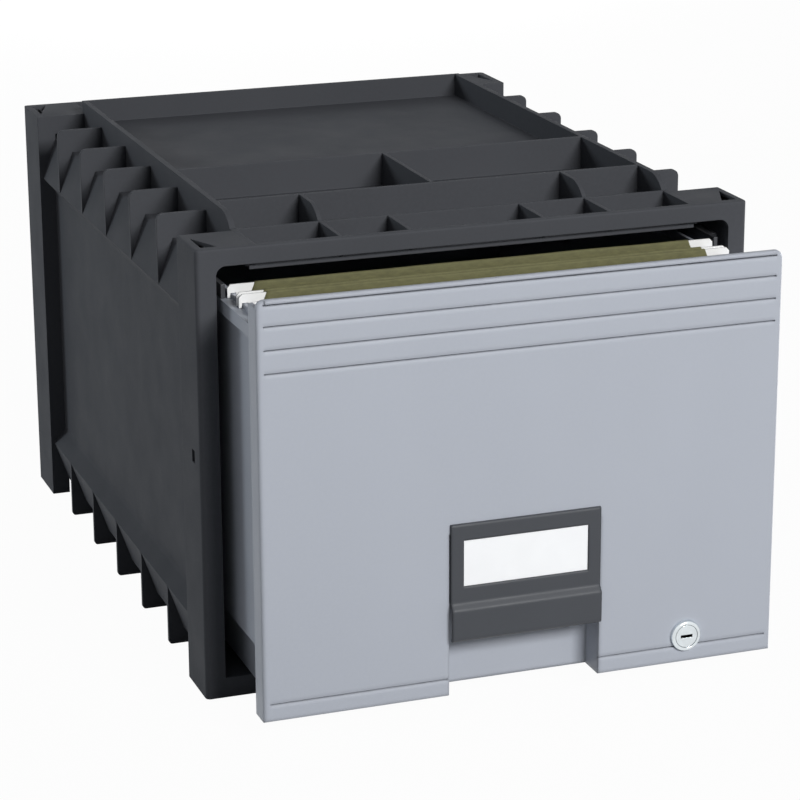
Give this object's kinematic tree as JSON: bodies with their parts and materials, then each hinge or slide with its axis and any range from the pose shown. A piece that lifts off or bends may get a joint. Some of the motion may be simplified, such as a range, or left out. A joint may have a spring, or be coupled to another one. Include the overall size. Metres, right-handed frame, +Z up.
{
  "type": "desktop file drawer",
  "caption": "Stackable plastic case with side fins and a roof rim, holding a sliding, lockable file drawer with a label holder pull and hanging folders.",
  "frame": {"origin": "on the surface it stands on, at the middle of the case's front edge", "axes": "+X to the right seen from the front, +Y towards the back of the case, +Z up; the drawer opens along -Y"},
  "size_m": [0.36, 0.539, 0.2945],
  "materials": {
    "case_plastic": "fine matte texture, dark slate grey",
    "rail_plastic": "smooth matte, near black",
    "drawer_plastic": "satin, light cool grey",
    "handle_plastic": "satin, charcoal",
    "label_paper": "plain white card",
    "screw_steel": "zinc plated",
    "lock_chrome": "polished",
    "folder_card": "olive green fibre board",
    "hanger_plastic": "white coating",
    "sheet_paper": "uncoated office paper"
  },
  "bodies": {
    "case": {"front_frame": "case_plastic", "left_side_panel": "case_plastic", "right_side_panel": "case_plastic", "left_fins": "case_plastic", "right_fins": "case_plastic", "top_panel": "case_plastic", "bottom_panel": "case_plastic", "back_panel": "case_plastic", "left_guide_rail": "rail_plastic", "right_guide_rail": "rail_plastic", "left_runner": "rail_plastic", "right_runner": "rail_plastic"},
    "drawer": {"drawer_front": "drawer_plastic", "drawer_left_side": "drawer_plastic", "drawer_right_side": "drawer_plastic", "drawer_bottom": "drawer_plastic", "drawer_back": "drawer_plastic", "handle": "handle_plastic", "label_card": "label_paper", "handle_screws": "screw_steel", "lock_housing": "lock_chrome", "lock_nut": "screw_steel"},
    "lock": {"lock_plug": "lock_chrome", "lock_cam": "screw_steel", "cam_screw": "screw_steel"},
    "front_file": {"front_folder": "folder_card", "front_hangers": "hanger_plastic", "front_papers": "sheet_paper"},
    "rear_file": {"rear_folder": "folder_card", "rear_hangers": "hanger_plastic", "rear_papers": "sheet_paper"}
  },
  "joints": [
    {"name": "drawer_slide", "type": "slide", "parent": "case", "child": "drawer", "axis": [0, -1, 0], "range_m": [-0.077, 0.25]},
    {"name": "lock_turn", "type": "hinge", "parent": "drawer", "child": "lock", "pos_m": [0.1077, -0.077, 0.032], "axis": [0, 1, 0], "range_deg": [0, 90]},
    {"name": "front_file_slide", "type": "slide", "parent": "drawer", "child": "front_file", "axis": [0, 1, 0], "range_m": [-0.011, 0]},
    {"name": "rear_file_slide", "type": "slide", "parent": "drawer", "child": "rear_file", "axis": [0, 1, 0], "range_m": [0, 0.345]}
  ]
}
